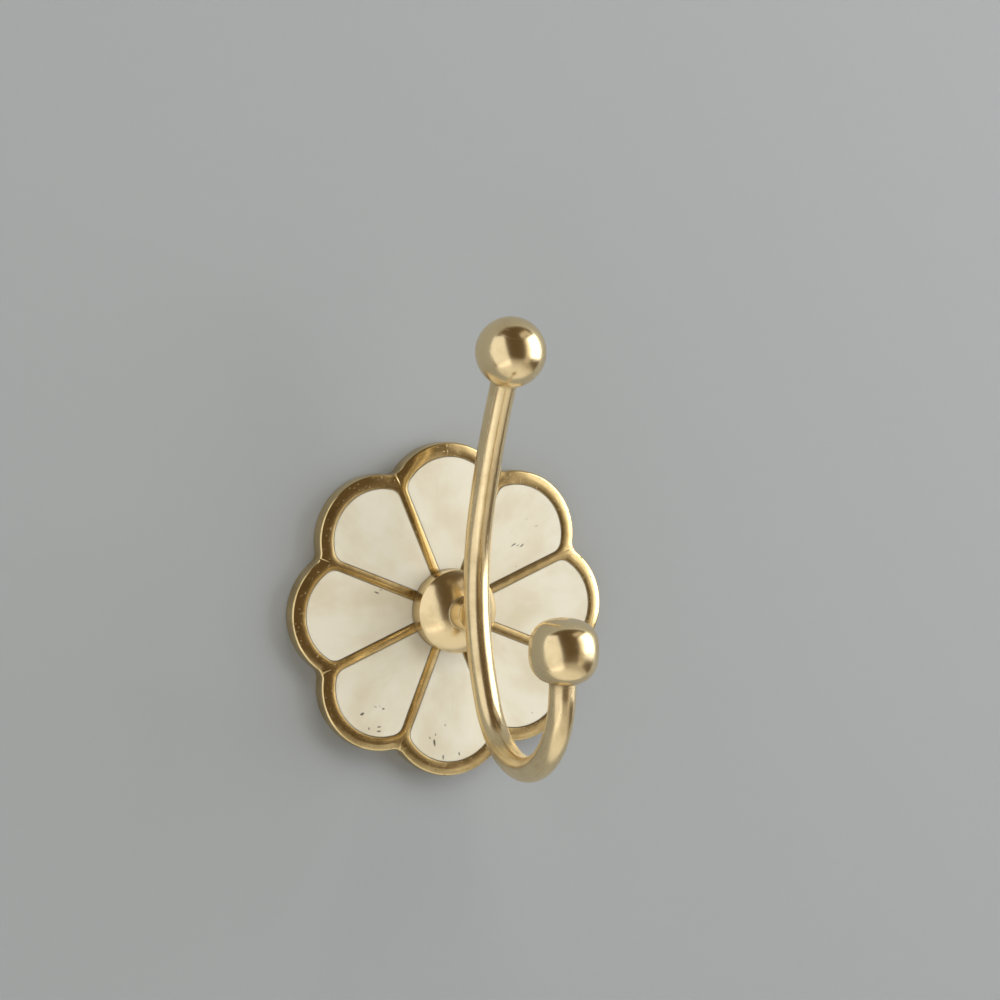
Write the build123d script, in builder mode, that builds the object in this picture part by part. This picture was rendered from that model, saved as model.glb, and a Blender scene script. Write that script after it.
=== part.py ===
from build123d import *

import math
import os

os.makedirs("parts", exist_ok=True)

# Wall-mounted double hook. +Z is up, the wall is the plane Y = 0 and the hook stands out towards -Y.
# The origin is the centre of the back face, where the screw enters the wall. Millimetres and degrees.
# A reach is a distance in front of the rosette's front face.

# Rosette
LOBES = 8
ROSETTE_RADIUS = 39.5
NOTCH_DEPTH = 4.9
NOTCH_ROUND = 3.0
PLATE_THICKNESS = 4.6
RIM_WIDTH = 3.4
RIM_SLOPE_WIDTH = 1.9
RIM_SLOPE_DROP = 0.3
RIM_ROUND = 0.5
BACK_EDGE_CHAMFER = 0.3
RIB_WIDTH = 2.4

# Bone inlays and the pockets that hold them
POCKET_DEPTH = 2.2
INLAY_BELOW_RIM = 0.1
INLAY_GAP = 0.1
INLAY_OUTER_ROUND = 3.0
INLAY_INNER_ROUND = 0.6
BOSS_OVER_INLAY = 1.2

# Boss
BOSS_RADIUS = 9.8
BOSS_SIDE = 4.4
BOSS_EDGE_ROUND = 0.4
DOME_RADIUS = 12.8
NECK_RADIUS = 3.7
NECK_REACH = 13.4
NECK_FILLET = 0.5
NECK_CHAMFER = 0.25
SPIGOT_RADIUS = 1.6
SPIGOT_REACH = 15.9
SPIGOT_GAP = 0.05
SPIGOT_END_ROOM = 0.3
BRAZE_GAP = 0.03

# Rod, bent in the plane X = 0
ROD_RADIUS = 3.0
STEM_REACH = 15.4
STEM_RISE = 5.8
BACK_BEND_RADIUS = 57.0
BACK_BEND_UP_ANGLE = 18.1
BACK_BEND_DOWN_ANGLE = 22.4
ARM_BEND_RADIUS = 165.0
ARM_BEND_ANGLE = 11.2
ARM_RUN = 9.0
LOWER_RUN = 3.3
CROOK_RADIUS = 20.9
TIP_LEAN_ANGLE = 5.0
TIP_RUN = 9.6

# Ball and bead
BALL_RADIUS = 8.0
BALL_SEAT_RADIUS = 3.9
BEAD_RADIUS = 7.65
BEAD_UPPER_HEIGHT = 7.0
BEAD_LOWER_HEIGHT = 7.3
BEAD_SEAT_RADIUS = 3.6
BEAD_POWER_RATIO = 2.6
BEAD_STEPS = 12
BORE_GAP = 0.05

# Fixings
WOOD_THREAD_RADIUS = 3.15
MACHINE_THREAD_RADIUS = 2.95
THREAD_GAP = 0.05
SCREW_CHAMFER = 0.6
THREAD_DEPTH = 6.4
THREAD_END_ROOM = 0.6
CLEARANCE_HOLE_RADIUS = 3.3
NUT_SIDES = 6
NUT_ACROSS_FLATS = 10.0
NUT_THICKNESS = 3.2
NUT_BEVEL = 0.5
NUT_RECESS_RADIUS = 7.0
NUT_BELOW_BACK = 0.1
WOOD_THREAD_LENGTH = 28.0
SCREW_POINT_LENGTH = 6.0
SCREW_POINT_RADIUS = 0.4

# Places that follow from the sizes above
half_lobe = 180.0 / LOBES
lobe_pitch = 2 * half_lobe
face_y = -PLATE_THICKNESS
rim_edge_y = face_y + RIM_SLOPE_DROP
notch_radius = ROSETTE_RADIUS - NOTCH_DEPTH
stem_y = face_y - STEM_REACH
neck_end_y = face_y - NECK_REACH
spigot_end_y = face_y - SPIGOT_REACH
notch_x = notch_radius * math.cos(math.radians(half_lobe))
notch_y = notch_radius * math.sin(math.radians(half_lobe))
lobe_centre = (ROSETTE_RADIUS**2 - notch_x**2 - notch_y**2) / (2 * (ROSETTE_RADIUS - notch_x))
lobe_radius = ROSETTE_RADIUS - lobe_centre
inlay_inner_radius = BOSS_RADIUS - BOSS_OVER_INLAY
inlay_thickness = POCKET_DEPTH - INLAY_BELOW_RIM
dome_drop = math.sqrt(DOME_RADIUS**2 - NECK_RADIUS**2) - math.sqrt(DOME_RADIUS**2 - BOSS_RADIUS**2)
side_end_y = face_y - BOSS_SIDE
dome_end_y = side_end_y - dome_drop
screw_seat_y = face_y - THREAD_DEPTH
recess_depth = NUT_THICKNESS + NUT_BELOW_BACK
tapped_radius = MACHINE_THREAD_RADIUS + THREAD_GAP


def polar(radius, angle):
    """Point at a radius and an angle in degrees."""
    return (radius * math.cos(math.radians(angle)), radius * math.sin(math.radians(angle)))


def petal_outline(gap):
    """Outline of the petal that points along +X, grown by the gap on every side.

    Its sides are parallel to the ribs' centre lines, its outer end follows the lobe inside the rim,
    and its inner end is round about the centre.
    """
    slope = math.radians(half_lobe)
    half_rib = RIB_WIDTH / 2 - gap
    end_radius = lobe_radius - RIM_WIDTH + gap
    inner_radius = inlay_inner_radius - gap
    inner_run = math.sqrt(inner_radius**2 - half_rib**2)
    along = lobe_centre * math.cos(slope)
    across = lobe_centre * math.sin(slope) - half_rib
    outer_run = along + math.sqrt(end_radius**2 - across**2)

    def side_point(run):
        """Point on the upper side, at a run along the rib."""
        return (
            run * math.cos(slope) + half_rib * math.sin(slope),
            run * math.sin(slope) - half_rib * math.cos(slope),
        )

    inner_x, inner_y = side_point(inner_run)
    outer_x, outer_y = side_point(outer_run)
    with BuildSketch() as outline:
        with BuildLine():
            Line((inner_x, -inner_y), (outer_x, -outer_y))
            ThreePointArc((outer_x, -outer_y), (lobe_centre + end_radius, 0), (outer_x, outer_y))
            Line((outer_x, outer_y), (inner_x, inner_y))
            ThreePointArc((inner_x, inner_y), (inner_radius, 0), (inner_x, -inner_y))
        make_face()
        corners = outline.vertices().group_by(Axis.X)
        fillet(corners[-1], INLAY_OUTER_ROUND + gap)
        fillet(corners[0], INLAY_INNER_ROUND + gap)
    return outline.sketch


def facing_plane(angle, y):
    """Plane parallel to the wall at the depth y, facing the room, with its x turned up by the angle."""
    turn = math.radians(angle)
    return Plane(origin=(0, y, 0), x_dir=(math.cos(turn), 0, math.sin(turn)), z_dir=(0, -1, 0))


pocket_outline = petal_outline(INLAY_GAP)
inlay_outline = petal_outline(0.0)

# Rosette: one casting with round lobes, sunk pockets and a recess for the nut behind
with BuildPart() as backplate:
    with BuildSketch(Plane.XZ) as rosette:
        with BuildLine():
            for lobe in range(LOBES):
                middle = lobe * lobe_pitch
                ThreePointArc(
                    polar(notch_radius, middle - half_lobe),
                    polar(ROSETTE_RADIUS, middle),
                    polar(notch_radius, middle + half_lobe),
                )
        make_face()
        fillet(rosette.vertices(), NOTCH_ROUND)
    extrude(amount=PLATE_THICKNESS)
    front = backplate.faces().sort_by(Axis.Y)[0]
    chamfer(front.edges(), RIM_SLOPE_WIDTH, RIM_SLOPE_DROP, reference=front)
    fillet(backplate.edges().filter_by_position(Axis.Y, rim_edge_y, rim_edge_y), RIM_ROUND)
    chamfer(backplate.edges().filter_by_position(Axis.Y, 0, 0), BACK_EDGE_CHAMFER)
    for lobe in range(LOBES):
        with BuildSketch(facing_plane(lobe * lobe_pitch, face_y)):
            add(pocket_outline)
        extrude(amount=-POCKET_DEPTH, mode=Mode.SUBTRACT)
    with Locations(Plane.XZ.offset(PLATE_THICKNESS)):
        Hole(CLEARANCE_HOLE_RADIUS)
    with BuildSketch(Plane.XZ):
        Circle(NUT_RECESS_RADIUS)
    extrude(amount=recess_depth, mode=Mode.SUBTRACT)
backplate.part.label = "backplate"
export_step(backplate.part, "parts/backplate.step")

# Bone inlays, numbered from the right-hand lobe upwards and round
for lobe in range(LOBES):
    with BuildPart() as petal:
        with BuildSketch(facing_plane(lobe * lobe_pitch, face_y + POCKET_DEPTH)):
            add(inlay_outline)
        extrude(amount=inlay_thickness)
    petal.part.label = f"bone_petal_{lobe + 1}"
    export_step(petal.part, f"parts/{petal.part.label}.step")

# Line of the rod: from the stem up along the arm, and down round the crook to its tip
crook_turn = 180.0 - BACK_BEND_DOWN_ANGLE - TIP_LEAN_ANGLE
with BuildLine(Plane.YZ) as bends:
    stem_point = (stem_y, STEM_RISE)
    upper_back = JernArc(stem_point, (0, 1), BACK_BEND_RADIUS, BACK_BEND_UP_ANGLE)
    upper_arm = JernArc(upper_back @ 1, upper_back % 1, ARM_BEND_RADIUS, ARM_BEND_ANGLE)
    arm = Line(upper_arm @ 1, upper_arm @ 1 + (upper_arm % 1) * ARM_RUN)
    lower_back = JernArc(stem_point, (0, -1), BACK_BEND_RADIUS, -BACK_BEND_DOWN_ANGLE)
    lower_line = Line(lower_back @ 1, lower_back @ 1 + (lower_back % 1) * LOWER_RUN)
    crook = JernArc(lower_line @ 1, lower_line % 1, CROOK_RADIUS, -crook_turn)
    tip = Line(crook @ 1, crook @ 1 + (crook % 1) * TIP_RUN)


def bent_rod(radius):
    """Round rod of the given radius along the hook's line."""
    with BuildPart() as bent:
        with BuildSketch(Plane(origin=arm @ 1, z_dir=arm % 1)):
            Circle(radius)
        sweep(path=bends.wire())
    return bent.part


# Rod, with a blind hole for the boss's spigot
with BuildPart() as hook_rod:
    add(bent_rod(ROD_RADIUS))
    with BuildSketch(Plane.XZ.offset(-dome_end_y)):
        Circle(SPIGOT_RADIUS + SPIGOT_GAP)
    extrude(amount=dome_end_y - spigot_end_y + SPIGOT_END_ROOM, mode=Mode.SUBTRACT)
hook_rod.part.label = "hook_rod"
export_step(hook_rod.part, "parts/hook_rod.step")

# Boss: turned about the screw's axis, its neck hollowed to the rod, with a blind tapped hole behind
with BuildPart() as boss:
    with BuildSketch() as boss_profile:
        with BuildLine():
            Polyline((0, face_y), (BOSS_RADIUS, face_y), (BOSS_RADIUS, side_end_y))
            RadiusArc((BOSS_RADIUS, side_end_y), (NECK_RADIUS, dome_end_y), DOME_RADIUS)
            Polyline((NECK_RADIUS, dome_end_y), (NECK_RADIUS, neck_end_y), (0, neck_end_y), (0, face_y))
        make_face()
        fillet(boss_profile.vertices().filter_by_position(Axis.Y, side_end_y, side_end_y), BOSS_EDGE_ROUND)
        fillet(boss_profile.vertices().filter_by_position(Axis.Y, dome_end_y, dome_end_y), NECK_FILLET)
        neck_corners = boss_profile.vertices().filter_by_position(Axis.Y, neck_end_y, neck_end_y)
        chamfer(neck_corners.sort_by(Axis.X)[-1], NECK_CHAMFER)
    revolve(axis=Axis.Y)
    add(bent_rod(ROD_RADIUS + BRAZE_GAP), mode=Mode.SUBTRACT)
    with BuildSketch(Plane.XZ.offset(-dome_end_y)):
        Circle(SPIGOT_RADIUS)
    extrude(amount=dome_end_y - spigot_end_y)
    with BuildSketch(Plane.XZ.offset(PLATE_THICKNESS)):
        Circle(tapped_radius)
    extrude(amount=THREAD_DEPTH + THREAD_END_ROOM, mode=Mode.SUBTRACT)
boss.part.label = "boss"
export_step(boss.part, "parts/boss.step")


def end_plane(line):
    """Plane through the line's end that holds the line: its x is +X and its y runs on along the line."""
    return Plane(origin=line @ 1, x_dir=(1, 0, 0), z_dir=Vector(1, 0, 0).cross(line % 1))


# Ball on the arm, and the blind bore in which the rod ends at the ball's centre
bore_radius = ROD_RADIUS + BORE_GAP
ball_seat = math.sqrt(BALL_RADIUS**2 - BALL_SEAT_RADIUS**2)
with BuildPart() as upper_ball:
    with BuildSketch(end_plane(arm)):
        with BuildLine():
            ThreePointArc((0, BALL_RADIUS), (BALL_RADIUS, 0), (BALL_SEAT_RADIUS, -ball_seat))
            Polyline(
                (BALL_SEAT_RADIUS, -ball_seat),
                (bore_radius, -ball_seat),
                (bore_radius, 0),
                (0, 0),
                (0, BALL_RADIUS),
            )
        make_face()
    revolve(axis=Axis(arm @ 1, arm % 1))
upper_ball.part.label = "upper_ball"
export_step(upper_ball.part, "parts/upper_ball.step")


def bead_point(turn, height):
    """Point of a superellipse, at a turn from its axis, that has the bead's radius and this height."""
    out = (math.sin(turn) / BEAD_RADIUS) ** BEAD_POWER_RATIO
    up = (abs(math.cos(turn)) / height) ** BEAD_POWER_RATIO
    reach = (out + up) ** (-1 / BEAD_POWER_RATIO)
    return reach * math.sin(turn), reach * math.cos(turn)


# Bead on the crook's tip, a squashed ball whose outline is a superellipse, bored as the ball is
seat_share = 1 - (BEAD_SEAT_RADIUS / BEAD_RADIUS) ** BEAD_POWER_RATIO
bead_seat = (BEAD_SEAT_RADIUS, -BEAD_LOWER_HEIGHT * seat_share ** (1 / BEAD_POWER_RATIO))
seat_turn = math.atan2(*bead_seat)
upper_turns = [step / BEAD_STEPS * math.pi / 2 for step in range(BEAD_STEPS)]
lower_turns = [math.pi / 2 + step / BEAD_STEPS * (seat_turn - math.pi / 2) for step in range(BEAD_STEPS)]
bead_points = [bead_point(turn, BEAD_UPPER_HEIGHT) for turn in upper_turns]
bead_points += [bead_point(turn, BEAD_LOWER_HEIGHT) for turn in lower_turns]
with BuildPart() as lower_bead:
    with BuildSketch(end_plane(tip)):
        with BuildLine():
            bead_end_way = Vector(bead_seat) - Vector(bead_points[-1])
            bead_side = Spline(*bead_points, bead_seat, tangents=((1, 0), bead_end_way))
            Polyline(bead_side @ 1, (bore_radius, bead_seat[1]), (bore_radius, 0), (0, 0), bead_side @ 0)
        make_face()
    revolve(axis=Axis(tip @ 1, tip % 1))
lower_bead.part.label = "lower_bead"
export_step(lower_bead.part, "parts/lower_bead.step")

# Double-ended screw: machine thread from its seat in the boss to the wall, wood thread to the point
with BuildPart() as hanger_bolt:
    with BuildSketch() as screw_profile:
        with BuildLine():
            Polyline(
                (0, screw_seat_y),
                (MACHINE_THREAD_RADIUS, screw_seat_y),
                (MACHINE_THREAD_RADIUS, 0),
                (WOOD_THREAD_RADIUS, 0),
                (WOOD_THREAD_RADIUS, WOOD_THREAD_LENGTH - SCREW_POINT_LENGTH),
                (SCREW_POINT_RADIUS, WOOD_THREAD_LENGTH),
                (0, WOOD_THREAD_LENGTH),
                (0, screw_seat_y),
            )
        make_face()
        seat_corners = screw_profile.vertices().filter_by_position(Axis.Y, screw_seat_y, screw_seat_y)
        chamfer(seat_corners.sort_by(Axis.X)[-1], SCREW_CHAMFER)
    revolve(axis=Axis.Y)
hanger_bolt.part.label = "hanger_bolt"
export_step(hanger_bolt.part, "parts/hanger_bolt.step")

# Thin nut in the plate's recess: a hexagon with its corners turned off at both ends
corner_radius = NUT_ACROSS_FLATS / 2 / math.cos(math.pi / NUT_SIDES)
with BuildPart() as lock_nut:
    with BuildSketch(Plane.XZ.offset(recess_depth)):
        RegularPolygon(NUT_ACROSS_FLATS / 2, NUT_SIDES, major_radius=False)
    extrude(amount=-NUT_THICKNESS)
    with BuildSketch() as turned_profile:
        with Locations((corner_radius / 2, NUT_THICKNESS / 2 - recess_depth)):
            Rectangle(corner_radius, NUT_THICKNESS)
        chamfer(turned_profile.vertices().sort_by(Axis.X)[-2:], NUT_BEVEL)
    revolve(axis=Axis.Y, mode=Mode.INTERSECT)
    with BuildSketch(Plane.XZ.offset(recess_depth)):
        Circle(tapped_radius)
    extrude(amount=-NUT_THICKNESS, mode=Mode.SUBTRACT)
lock_nut.part.label = "lock_nut"
export_step(lock_nut.part, "parts/lock_nut.step")
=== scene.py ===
"""Bath hook of brass with a bone-inlaid rosette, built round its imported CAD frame.

The wall is the plane Y = 0, +Z is up, and the hook stands out towards -Y. Lengths are in metres, and the
maths of each surface is in millimetres.
"""

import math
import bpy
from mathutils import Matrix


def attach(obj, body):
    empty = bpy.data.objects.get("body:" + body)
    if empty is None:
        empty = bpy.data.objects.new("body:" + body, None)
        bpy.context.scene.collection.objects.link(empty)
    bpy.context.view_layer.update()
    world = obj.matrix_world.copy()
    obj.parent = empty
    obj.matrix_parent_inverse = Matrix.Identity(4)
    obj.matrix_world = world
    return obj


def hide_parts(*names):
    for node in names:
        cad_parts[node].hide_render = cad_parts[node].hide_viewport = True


bl_info = {
    "name": "Bath hook with a bone rosette",
    "version": (1, 0, 0),
    "blender": (4, 5, 0),
    "location": "3D View > Sidebar > Bath hook",
    "description": "Builds the looks of a brass bath hook with a bone-inlaid rosette",
    "category": "Mesh",
}

import bmesh
import bpy
import numpy as np
from bpy.props import FloatProperty, FloatVectorProperty, IntProperty, PointerProperty
from mathutils import Matrix, Vector

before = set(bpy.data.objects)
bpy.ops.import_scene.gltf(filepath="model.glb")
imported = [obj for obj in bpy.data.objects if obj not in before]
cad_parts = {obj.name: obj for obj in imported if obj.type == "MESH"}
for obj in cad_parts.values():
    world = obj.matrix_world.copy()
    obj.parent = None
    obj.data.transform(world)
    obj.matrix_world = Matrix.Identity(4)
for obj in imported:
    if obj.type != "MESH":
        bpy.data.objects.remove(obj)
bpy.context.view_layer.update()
MM = 0.001

# Settings that several nodes share
SMOOTH = {"interpolation_type": "SMOOTHSTEP"}
COLOURED = {"data_type": "RGBA"}
MAXIMUM, MULTIPLY, MULTIPLY_ADD = ({"operation": name} for name in ("MAXIMUM", "MULTIPLY", "MULTIPLY_ADD"))

# Small rounds in millimetres: a pocket's edge, the flat where a rod goes in, and the mouth of its bore
POCKET_ROUND, SEAT_ROUND, BORE_ROUND = 0.12, 0.12, 0.1
# Where the rod's bore ends, in millimetres from the ball's or bead's middle
BORE_END = -1


def linear(code):
    """Linear red, green, blue and alpha of an sRGB hex colour."""
    share = np.array([int(code[k : k + 2], 16) for k in (1, 3, 5)]) / 255
    curve = np.where(share <= 0.04045, share / 12.92, ((share + 0.055) / 1.055) ** 2.4)
    return (*curve.tolist(), 1.0)


def length(name, description, size):
    """Length property whose default is a size in millimetres."""
    return FloatProperty(name=name, description=description, default=size * MM, unit="LENGTH", precision=5)


def angle(name, description, degrees):
    """Angle property whose default is in degrees."""
    return FloatProperty(name=name, description=description, default=math.radians(degrees), subtype="ANGLE")


def colour(name, description, code):
    """Colour property whose default is an sRGB hex colour."""
    return FloatVectorProperty(
        name=name, description=description, default=linear(code), size=4, min=0, max=1, subtype="COLOR"
    )


class RosetteSizes(bpy.types.PropertyGroup):
    """Sizes of the lobed plate and its inlays."""

    lobes: IntProperty(name="Lobes", description="Number of lobes and of inlays", default=8, min=3)
    radius: length("Radius", "From the centre to a lobe's tip", 39.5)
    notch_depth: length("Notch depth", "From a lobe's tip circle in to a notch", 4.9)
    notch_round: length("Notch round", "Radius at the bottom of a notch", 3.0)
    thickness: length("Thickness", "From the wall to the rim's front", 4.6)
    rim_width: length("Rim width", "From a lobe's edge in to its pocket", 3.4)
    slope_width: length("Slope width", "Width of the band that falls away to the edge", 1.9)
    slope_drop: length("Slope drop", "How far that band falls", 0.3)
    edge_round: length("Edge round", "Radius of the front edge", 0.5)
    back_chamfer: length("Back chamfer", "Width of the chamfer round the back", 0.3)
    rib_width: length("Rib width", "Width of a rib between two inlays", 2.4)
    rib_crown: length("Rib crown", "How far a rib's sides fall below its middle", 0.11)
    pocket_depth: length("Pocket depth", "Depth of the pocket that holds an inlay", 2.2)
    inlay_gap: length("Inlay gap", "Gap round an inlay", 0.1)
    inlay_below: length("Inlay below rim", "How far an inlay lies below the rim's front", 0.1)
    inlay_outer_round: length("Inlay outer round", "Radius of an inlay's outer corners", 3.0)
    inlay_inner_round: length("Inlay inner round", "Radius of an inlay's inner corners", 0.6)
    inlay_start: length("Inlay start", "From the centre to an inlay's inner end", 8.6)
    inlay_edge: length("Inlay edge", "Radius rubbed onto an inlay's top edge", 0.12)
    hole_radius: length("Hole radius", "Radius of the hole for the screw", 3.3)
    recess_radius: length("Recess radius", "Radius of the nut's recess behind", 7.0)
    recess_depth: length("Recess depth", "Depth of the nut's recess", 3.3)


class TurnedSizes(bpy.types.PropertyGroup):
    """Sizes of the turned boss, ball and bead."""

    boss_radius: length("Boss radius", "Radius of the boss's upright side", 9.8)
    boss_side: length("Boss side", "Height of the upright side", 4.4)
    boss_edge: length("Boss edge", "Radius between the side and the dome", 0.4)
    dome_radius: length("Dome radius", "Radius of the dome's sphere", 12.8)
    neck_radius: length("Neck radius", "Radius of the neck behind the rod", 3.7)
    neck_reach: length("Neck reach", "From the rosette's front to the neck's end", 13.4)
    neck_fillet: length("Neck fillet", "Radius between the dome and the neck", 0.5)
    neck_edge: length("Neck edge", "Radius of the neck's end", 0.25)
    tapped_radius: length("Tapped radius", "Radius of the tapped hole behind", 3.0)
    tapped_depth: length("Tapped depth", "Depth of the tapped hole", 7.0)
    ball_radius: length("Ball radius", "Radius of the upper ball", 7.995)
    ball_seat: length("Ball seat", "Radius of the flat where the rod goes in", 3.9)
    bead_radius: length("Bead radius", "Largest radius of the lower bead", 7.65)
    bead_upper: length("Bead upper height", "From the bead's middle up to its end", 7.0)
    bead_lower: length("Bead lower height", "From the bead's middle down to where its outline would close", 7.3)
    bead_seat: length("Bead seat", "Radius of the flat where the rod goes in", 3.6)
    bead_power: FloatProperty(name="Bead power", description="Power of the bead's superellipse", default=2.6)
    bore_gap: length("Bore gap", "Gap between the rod and a bore", 0.05)


class RodSizes(bpy.types.PropertyGroup):
    """Sizes of the bent rod."""

    radius: length("Rod radius", "Radius of the rod", 3.0)
    stem_reach: length("Stem reach", "From the rosette's front to the rod's line at the boss", 15.4)
    stem_rise: length("Stem rise", "Height of the point where the rod stands upright", 5.8)
    back_bend_radius: length("Back bend radius", "Radius of the long bend behind", 57.0)
    back_bend_up: angle("Back bend up", "Turn of that bend above the stem", 18.1)
    back_bend_down: angle("Back bend down", "Turn of that bend below the stem", 22.4)
    arm_bend_radius: length("Arm bend radius", "Radius of the upper arm's bend", 165.0)
    arm_bend: angle("Arm bend", "Turn of the upper arm's bend", 11.2)
    arm_run: length("Arm run", "Straight length that ends in the ball", 9.0)
    lower_run: length("Lower run", "Straight length above the crook", 3.3)
    crook_radius: length("Crook radius", "Radius of the crook's bend", 20.9)
    tip_lean: angle("Tip lean", "Lean of the crook's tip from upright", 5.0)
    tip_run: length("Tip run", "Straight length that ends in the bead", 9.6)


class FixingSizes(bpy.types.PropertyGroup):
    """Sizes of the double-ended screw and its nut."""

    machine_radius: length("Machine thread radius", "Radius of the end in the boss", 2.95)
    machine_length: length("Machine thread length", "From the wall to that end", 11.0)
    wood_radius: length("Wood thread radius", "Radius over the wood thread", 3.15)
    wood_core: length("Wood core radius", "Radius at the root of the wood thread", 2.1)
    wood_pitch: length("Wood thread pitch", "From one turn of the wood thread to the next", 2.6)
    wood_length: length("Wood thread length", "From the wall to the screw's point", 28.0)
    point_length: length("Point length", "Length of the tapered point", 6.0)
    point_radius: length("Point radius", "Radius of the point's end", 0.4)
    nut_flats: length("Nut across flats", "Width of the nut", 10.0)
    nut_thickness: length("Nut thickness", "Thickness of the nut", 3.2)
    nut_bevel: length("Nut bevel", "Bevel turned on the nut's corners", 0.5)


class HookColours(bpy.types.PropertyGroup):
    """Colours of the finishes."""

    brass: colour("Brass", "Clean polished brass", "#F0DAAC")
    cast_brass: colour("Cast brass", "Brass of the cast rosette", "#EAD29C")
    tarnish: colour("Tarnish", "Brown film on the brass", "#A6884E")
    # Dark colour for corners, seams and joints, where dirt lies and painted shade darkens them, and for casting
    # pits
    grime_and_shade: colour("Grime", "Dirt and polish left in corners", "#3A2812")
    bone: colour("Bone", "Pale bone", "#F2EEDC")
    bone_dark: colour("Aged bone", "Darker clouds and grain in the bone", "#DED4B6")
    pore: colour("Pores", "Dark pores in the bone", "#4B4131")
    steel: colour("Zinc", "Zinc plate on the fixings", "#BFC2C3")
    wall: colour("Wall", "Plain wall behind the hook", "#A9AEB1")
    floor: colour("Floor", "Plain floor", "#ECEBE7")


def fill(tree, node, inputs):
    """Sets a node's inputs. Each is a value, an output to link from, or a node, for its first output in use."""
    for key, value in inputs.items():
        if isinstance(value, bpy.types.Node):
            value = next(output for output in value.outputs if output.enabled)
        if isinstance(value, bpy.types.NodeSocket):
            tree.links.new(value, node.inputs[key])
        else:
            node.inputs[key].default_value = value


def add_node(tree, kind, settings=None, inputs=None):
    """Adds a shader node with its settings and its inputs."""
    made = tree.nodes.new("ShaderNode" + kind)
    for key, value in (settings or {}).items():
        setattr(made, key, value)
    fill(tree, made, inputs or {})
    return made


def new_material(name):
    """New material, with its node tree and its shader."""
    material = bpy.data.materials.new(name)
    material.use_nodes = True
    return material, material.node_tree, material.node_tree.nodes["Principled BSDF"]


def skin_of(tree, scale, turn=(0, 0, 0)):
    """The piece's own straightened coordinates in millimetres, turned and scaled."""
    skin = add_node(tree, "Attribute", {"attribute_name": "skin"}).outputs["Vector"]
    return add_node(tree, "Mapping", inputs={"Vector": skin, "Scale": scale, "Rotation": turn})


def brass(name, base, film, roughness, pits, grain):
    """Brass with a clouded film, fine scratches along the grain, pits, and its corners darkened by dirt and by
    painted shade.

    Grain is a pair: the scale of the scratches along each of the skin's axes, per millimetre, and their turn.
    """
    colours = bpy.context.scene.hook_colours
    material, tree, shader = new_material(name)
    even = skin_of(tree, (1, 1, 1))
    # A film of tarnish in soft clouds about 9 mm across, broken up finely at its edges
    clouds = add_node(tree, "TexNoise", inputs={"Vector": even, "Scale": 0.11, "Detail": 6.0, "Roughness": 0.6})
    clouded = add_node(
        tree, "MapRange", SMOOTH, {"Value": clouds, "From Min": 0.42, "From Max": 0.72, "To Max": film}
    )
    # Polishing scratches, a tenth of a millimetre wide in life and drawn coarser here, at 0.2 to 0.5 mm
    lines = {"Vector": skin_of(tree, *grain), "Scale": 1.0, "Detail": 3.0, "Roughness": 0.7}
    scratches = add_node(tree, "TexNoise", inputs=lines)
    scratched = add_node(
        tree, "MapRange", inputs={"Value": scratches, "From Min": 0.55, "From Max": 0.8, "To Max": 1.0}
    )
    # Casting pits about 0.4 mm across
    specks = add_node(tree, "TexNoise", inputs={"Vector": even, "Scale": 1.7, "Detail": 2.0, "Roughness": 0.5})
    pitted = add_node(
        tree, "MapRange", SMOOTH, {"Value": specks, "From Min": 0.66, "From Max": 0.74, "To Max": pits}
    )
    # Corners, seams and joints are darkened from a painted attribute: dirt there, and painted shade where parts
    # shade each other
    grime_and_shade = add_node(tree, "Attribute", {"attribute_name": "grime_and_shade"}).outputs["Fac"]
    dirt_and_shade = add_node(tree, "Math", MAXIMUM, {0: grime_and_shade, 1: pitted})
    filmed = add_node(tree, "Mix", COLOURED, {"Factor": clouded, "A": base, "B": colours.tarnish})
    dirty_and_shaded = add_node(tree, "Mix", COLOURED, {"Factor": dirt_and_shade, "A": filmed, "B": colours.grime_and_shade})
    # The film and the scratches dull the gloss a little, and the dirt with its painted shade dulls it most
    rough = add_node(tree, "Math", MULTIPLY_ADD, {0: clouds, 1: 0.14, 2: roughness - 0.07})
    rough = add_node(tree, "Math", MULTIPLY_ADD, {0: scratched, 1: 0.12, 2: rough})
    rough = add_node(tree, "Math", MULTIPLY_ADD | {"use_clamp": True}, {0: dirt_and_shade, 1: 0.35, 2: rough})
    # Hand polishing leaves the surface faintly wavy, with waves about 4 mm long
    waves = add_node(tree, "TexNoise", inputs={"Vector": even, "Scale": 0.24, "Detail": 1.0, "Roughness": 0.4})
    normal = add_node(tree, "Bump", inputs={"Strength": 1.0, "Distance": 0.05 * MM, "Height": waves})
    for height, depth in ((scratched, 0.002), (pitted, 0.05)):
        sunk = {"Strength": 0.6, "Distance": -depth * MM, "Height": height, "Normal": normal}
        normal = add_node(tree, "Bump", inputs=sunk)
    fill(tree, shader, {"Metallic": 1.0, "Base Color": dirty_and_shaded, "Roughness": rough, "Normal": normal})
    return material


def cast_polished_brass():
    """Sand-cast brass, filed and polished by hand: warm, a little soft in its gloss, with pits and swirls."""
    swirls = (0.5, 4.5, 4.5), (0, 0, math.radians(35))
    return brass("cast_polished_brass", bpy.context.scene.hook_colours.cast_brass, 0.55, 0.16, 0.8, swirls)


def turned_polished_brass():
    """Turned brass, polished in the lathe: bright, with faint rings round its axis."""
    rings = (0.1, 0.1, 2.6), (0, 0, 0)
    return brass("turned_polished_brass", bpy.context.scene.hook_colours.brass, 0.35, 0.21, 0.1, rings)


def drawn_polished_brass():
    """Drawn rod, polished lengthwise after bending: bright, with faint lines along it."""
    lines = (2.0, 2.0, 0.1), (0, 0, 0)
    return brass("drawn_polished_brass", bpy.context.scene.hook_colours.brass, 0.35, 0.24, 0.1, lines)


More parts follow.
